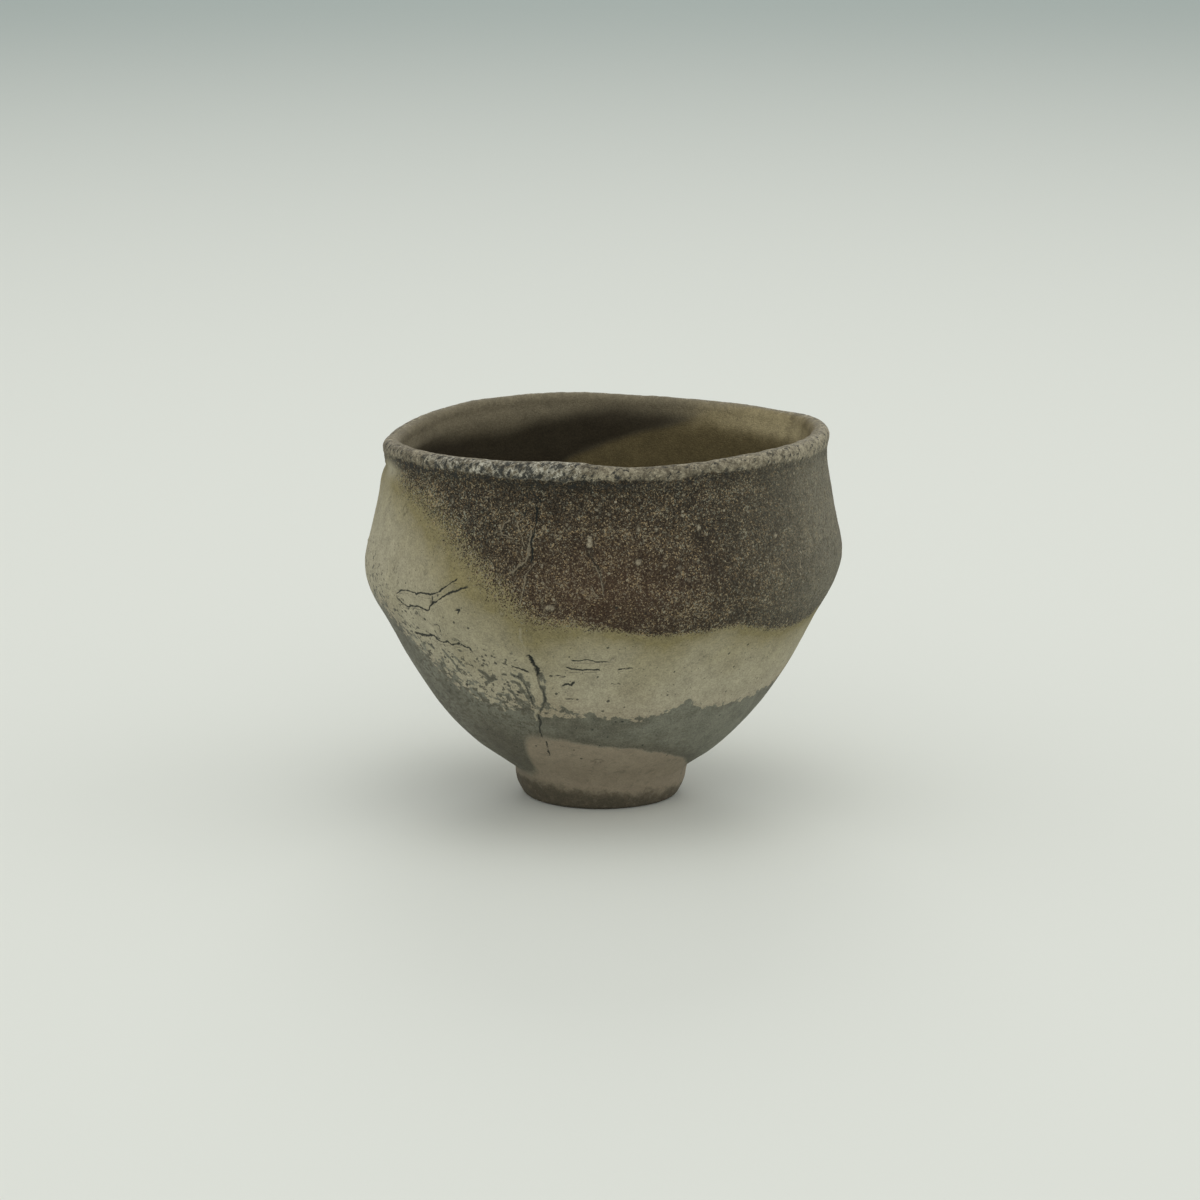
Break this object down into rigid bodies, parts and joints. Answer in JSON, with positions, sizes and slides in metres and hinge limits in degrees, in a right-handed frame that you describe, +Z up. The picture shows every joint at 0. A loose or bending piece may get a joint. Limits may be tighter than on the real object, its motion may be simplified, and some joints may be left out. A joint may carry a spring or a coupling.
{
  "type": "guinomi sake cup",
  "caption": "Small hand-built stoneware sake cup: wavy rolled lip, upper wall leaning in over a soft shoulder, lower wall flaring from a luted ring foot.",
  "frame": {"origin": "on the table at the middle of the cup's bounding box, inside the foot", "axes": "+Z up through the mouth, +X to the right of the pictured front, which faces -Y"},
  "size_m": [0.0701, 0.0696, 0.0552],
  "materials": {
    "lip_clay": "matte",
    "scorched_clay": "matte",
    "ash_clay": "matte",
    "bare_clay": "matte"
  },
  "bodies": {
    "root": {"lip": "lip_clay", "upper_wall": "scorched_clay", "lower_wall": "ash_clay", "base": "ash_clay", "foot_ring": "bare_clay"}
  },
  "joints": []
}
